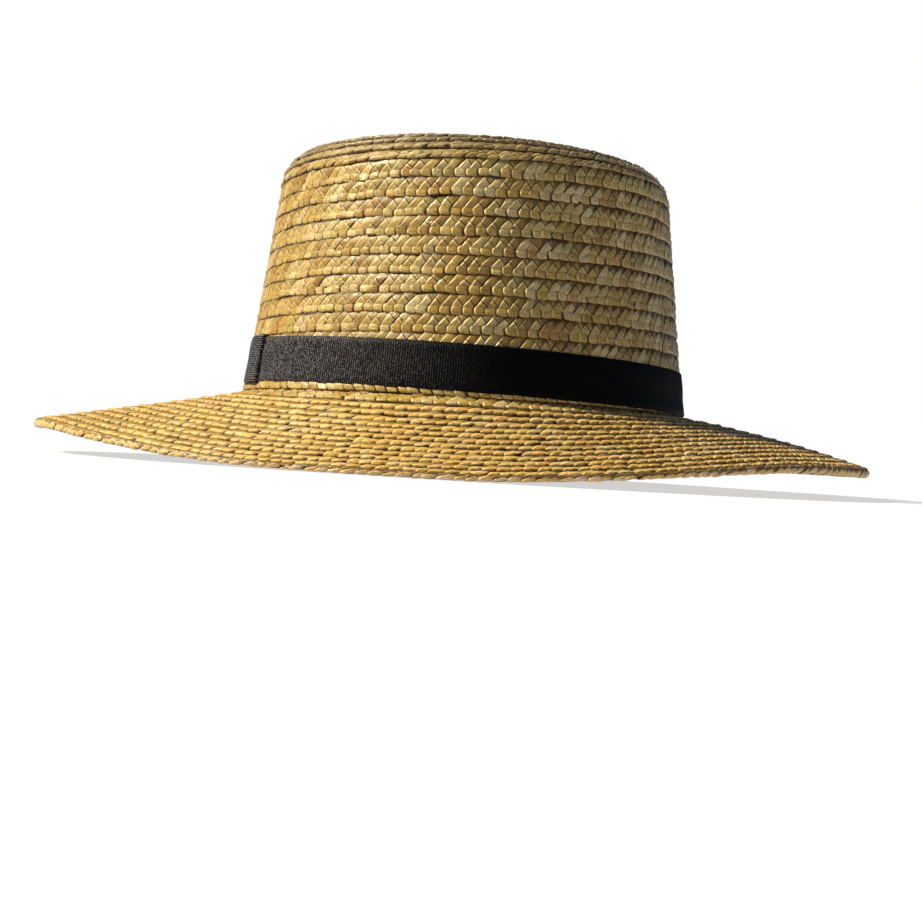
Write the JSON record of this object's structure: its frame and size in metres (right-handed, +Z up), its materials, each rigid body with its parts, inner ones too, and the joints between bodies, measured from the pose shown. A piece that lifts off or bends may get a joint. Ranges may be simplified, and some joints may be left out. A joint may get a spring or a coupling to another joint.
{
  "type": "wide-brimmed straw hat",
  "caption": "Wide-brimmed straw hat with a low domed crown of spiral-sewn plait, a dipping brim and a dark grosgrain ribbon band with an upright keeper.",
  "frame": {"origin": "on the floor under the middle of the brim's box, where the rim rests", "axes": "+Z up through the crown, -Y to the front of the hat, +X to the right of someone facing its front"},
  "size_m": [0.3192, 0.3492, 0.1274],
  "materials": {
    "straw": "plaited wheat straw, satin, golden tan",
    "ribbon": "ribbed grosgrain, nearly black"
  },
  "bodies": {
    "root": {"crown": "straw", "brim": "straw", "hat_band": "ribbon", "band_keeper": "ribbon"}
  },
  "joints": []
}
